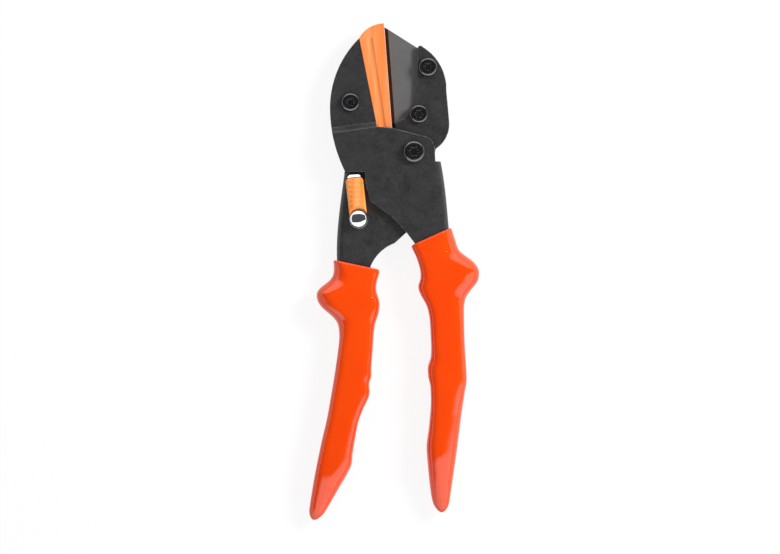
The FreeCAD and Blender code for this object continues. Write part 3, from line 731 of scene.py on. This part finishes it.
def makeSpring():
    shape = springShape
    path = []
    for step in range(shape["coilSteps"] + 1):
        part = step / shape["coilSteps"]
        angle = math.radians(shape["fromAngle"] - shape["turning"] * part)
        path.append(Vector((shape["radius"] * math.cos(angle), shape["radius"] * math.sin(angle),
                            shape["low"] + (shape["high"] - shape["low"]) * part)))
    legs = []
    for end, near, height in ((shape["leftEnd"], path[0], shape["low"]),
                              (shape["rightEnd"], path[-1], shape["high"])):
        far = Vector((*end, height))
        legs.append([far + (near - far) * step / shape["legSteps"] for step in range(shape["legSteps"])])
    path = legs[0] + path + legs[1][::-1]
    radius = shape["wire"] / 2
    rings = wireAlong(path, radius, shape["sides"])
    # the cut ends are slightly rounded over
    for at, step in ((0, 1), (-1, -1)):
        centre = path[at]
        outward = (path[at] - path[at + step]).normalized()
        flush = [Vector(point) for point in rings[at]]
        small = [tuple(centre + (point - centre) * shape["endSize"]) for point in flush]
        rings[at] = [tuple(point - outward * radius * shape["endRound"]) for point in flush]
        rings.insert(0 if at == 0 else len(rings), small)
    points, faces = bridgeRings(rings)
    piece = meshPiece("return_spring_wire", points, faces, metals["springSteel"])
    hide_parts("return_spring")
    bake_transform(piece)


makeSpring()
print("return spring done")


# studio: white floor, even light with a bright low surround, one soft key from the upper right

aim = (-10.1, -52.7)  # what the key and the camera look at, in mm

floorLook = {"half": 1200.0, "below": 0.3, "colour": (0.9, 0.9, 0.9, 1), "glow": 1.03, "glowShare": 0.86}


def makeFloor():
    half, level = floorLook["half"] * mm, -floorLook["below"] * mm
    mesh = bpy.data.meshes.new("floor")
    mesh.from_pydata([(-half, -half, level), (half, -half, level), (half, half, level),
                      (-half, half, level)], [], [(0, 1, 2, 3)])
    floor = bpy.data.objects.new("floor", mesh)
    bpy.context.scene.collection.objects.link(floor)
    material = bpy.data.materials.new("whiteFloor")
    material.use_nodes = True
    tree = material.node_tree
    tree.nodes.clear()
    out = addNode(tree, "ShaderNodeOutputMaterial", (400, 0))
    card = addNode(tree, "ShaderNodeBsdfDiffuse", (-200, 100))
    card.inputs["Color"].default_value = floorLook["colour"]
    glow = addNode(tree, "ShaderNodeEmission", (-200, -100))
    glow.inputs["Strength"].default_value = floorLook["glow"]
    rays = addNode(tree, "ShaderNodeLightPath", (-400, 300))
    seen = addNode(tree, "ShaderNodeMath", (-300, 300), operation="MAXIMUM")
    link(tree, rays.outputs["Is Camera Ray"], seen.inputs[0])
    link(tree, rays.outputs["Is Glossy Ray"], seen.inputs[1])
    share = addNode(tree, "ShaderNodeMath", (-200, 300), operation="MULTIPLY")
    share.inputs[1].default_value = floorLook["glowShare"]
    link(tree, seen.outputs[0], share.inputs[0])
    both = addNode(tree, "ShaderNodeMixShader", (100, 0))
    link(tree, share.outputs[0], both.inputs["Fac"])
    link(tree, card.outputs[0], both.inputs[1])
    link(tree, glow.outputs[0], both.inputs[2])
    link(tree, both.outputs[0], out.inputs["Surface"])
    mesh.materials.append(material)


# directions are unit lengths: lowRing and gap are heights, and each card is a direction and how near to it
tent = {"ambient": 0.66, "bright": 3.0, "overhead": 0.12, "lowRing": (0.34, 0.24), "ringShare": 0.65,
        "gap": (0.0, 0.06), "gapShare": 0.6, "cardSoft": 0.07,
        "cards": (((0.2, -0.98, 0), 0.36), ((0, 1, 0), 0.6))}


def makeSurround():
    # plain white to the eye, even light for the surfaces, and a tent with a dark top for the gloss
    world = bpy.data.worlds.new("tent")
    bpy.context.scene.world = world
    world.use_nodes = True
    tree = world.node_tree
    tree.nodes.clear()
    out = addNode(tree, "ShaderNodeOutputWorld", (900, 0))
    where = addNode(tree, "ShaderNodeTexCoord", (-900, 0))
    parts = addNode(tree, "ShaderNodeSeparateXYZ", (-700, 150))
    link(tree, where.outputs["Generated"], parts.inputs["Vector"])
    low = remap(tree, parts.outputs["Z"], (-450, 200), *tent["lowRing"], high=tent["ringShare"])
    gap = remap(tree, parts.outputs["Z"], (-450, -50), *tent["gap"], low=tent["gapShare"])
    bright = low.outputs[0]
    for i, (direction, edge) in enumerate(tent["cards"]):
        toward = addNode(tree, "ShaderNodeVectorMath", (-700, -300 - 200 * i), operation="DOT_PRODUCT")
        toward.inputs[1].default_value = direction
        link(tree, where.outputs["Generated"], toward.inputs[0])
        card = remap(tree, toward.outputs["Value"], (-450, -300 - 200 * i),
                     edge - tent["cardSoft"], edge + tent["cardSoft"])
        both = addNode(tree, "ShaderNodeMath", (-250, -200 * i), operation="MAXIMUM")
        link(tree, bright, both.inputs[0])
        link(tree, card.outputs["Result"], both.inputs[1])
        bright = both.outputs[0]
    shut = addNode(tree, "ShaderNodeMath", (0, 0), operation="MULTIPLY")
    link(tree, bright, shut.inputs[0])
    link(tree, gap.outputs["Result"], shut.inputs[1])
    gloss = remap(tree, shut.outputs[0], (200, 0), 0.0, 1.0, tent["overhead"], tent["bright"])
    rays = addNode(tree, "ShaderNodeLightPath", (0, 400))
    glossy = addNode(tree, "ShaderNodeMix", (400, 150), data_type="FLOAT")
    link(tree, rays.outputs["Is Glossy Ray"], glossy.inputs["Factor"])
    glossy.inputs["A"].default_value = tent["ambient"]
    link(tree, gloss.outputs["Result"], glossy.inputs["B"])
    seen = addNode(tree, "ShaderNodeMix", (550, 150), data_type="FLOAT")
    link(tree, rays.outputs["Is Camera Ray"], seen.inputs["Factor"])
    link(tree, glossy.outputs["Result"], seen.inputs["A"])
    seen.inputs["B"].default_value = 1.0
    light = addNode(tree, "ShaderNodeBackground", (720, 0))
    link(tree, seen.outputs["Result"], light.inputs["Strength"])
    link(tree, light.outputs[0], out.inputs["Surface"])


keyLight = {"size": 0.3, "level": 0.55, "direction": (0.66, 0.36, 0.62), "distance": 0.95}


def makeKey():
    data = bpy.data.lights.new("key", "AREA")
    data.shape = "DISK"
    data.size = keyLight["size"]
    target = Vector((*aim, 0)) * mm
    direction = Vector(keyLight["direction"]).normalized()
    distance = keyLight["distance"]
    data.energy = keyLight["level"] * math.pi ** 2 * distance ** 2 / direction.z
    key = bpy.data.objects.new("key", data)
    bpy.context.scene.collection.objects.link(key)
    key.location = target + direction * distance
    key.rotation_euler = (-direction).to_track_quat("-Z", "Y").to_euler()
    key.visible_glossy = False


cameraView = {"height": 1106.7, "lens": 120, "sensor": 36, "near": 0.05, "far": 20}


def makeCamera():
    data = bpy.data.cameras.new("camera")
    data.sensor_width = cameraView["sensor"]
    data.lens = cameraView["lens"]
    data.clip_start = cameraView["near"]
    data.clip_end = cameraView["far"]
    camera = bpy.data.objects.new("camera", data)
    bpy.context.scene.collection.objects.link(camera)
    camera.location = Vector((*aim, cameraView["height"])) * mm
    bpy.context.scene.camera = camera


makeFloor()
makeSurround()
makeKey()
makeCamera()
bpy.context.scene.view_settings.view_transform = "Standard"
print("studio done")
